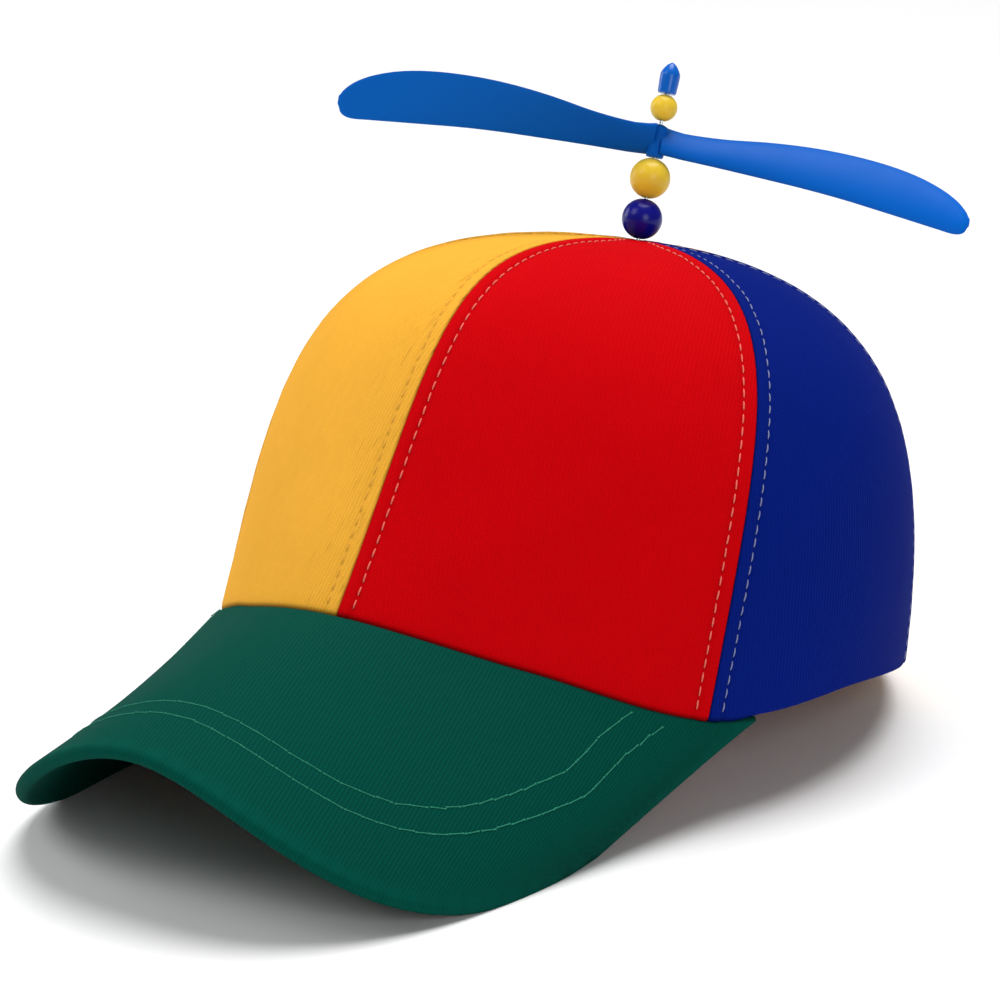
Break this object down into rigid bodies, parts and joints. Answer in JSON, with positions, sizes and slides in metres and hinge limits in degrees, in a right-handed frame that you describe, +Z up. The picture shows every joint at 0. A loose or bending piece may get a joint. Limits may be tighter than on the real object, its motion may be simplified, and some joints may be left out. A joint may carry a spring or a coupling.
{
  "type": "propeller cap",
  "caption": "Peaked cloth cap in coloured panels with a propeller that spins on a beaded wire at the top of its crown.",
  "frame": {"origin": "middle of the underside of the whole cap's box, on the surface that it rests on", "axes": "+Z up, -Y towards the peak, +X towards the wearer's left"},
  "size_m": [0.1682, 0.2754, 0.1638],
  "materials": {
    "twill_red": "matt woven cloth",
    "twill_yellow": "matt woven cloth",
    "twill_blue": "matt woven cloth",
    "twill_green": "matt ribbed cloth over a stiff board",
    "plastic_blue": "satin",
    "bead_navy": "gloss",
    "bead_yellow": "gloss",
    "wire_steel": "bright"
  },
  "bodies": {
    "root": {"panel_front_left": "twill_red", "panel_front_right": "twill_yellow", "panel_side_left": "twill_blue", "panel_side_right": "twill_blue", "panel_back_left": "twill_yellow", "panel_back_right": "twill_red", "peak": "twill_green", "back_strap": "twill_blue", "spindle": "wire_steel", "bead_navy": "bead_navy", "bead_yellow": "bead_yellow", "bead_small": "bead_yellow", "tip_cap": "plastic_blue"},
    "propeller": {"propeller": "plastic_blue"}
  },
  "joints": [
    {"name": "propeller_spin", "type": "hinge", "parent": "root", "child": "propeller", "pos_m": [0, 0.07493, 0.14293], "axis": [0, 0.3084, 0.9513], "continuous": true}
  ]
}
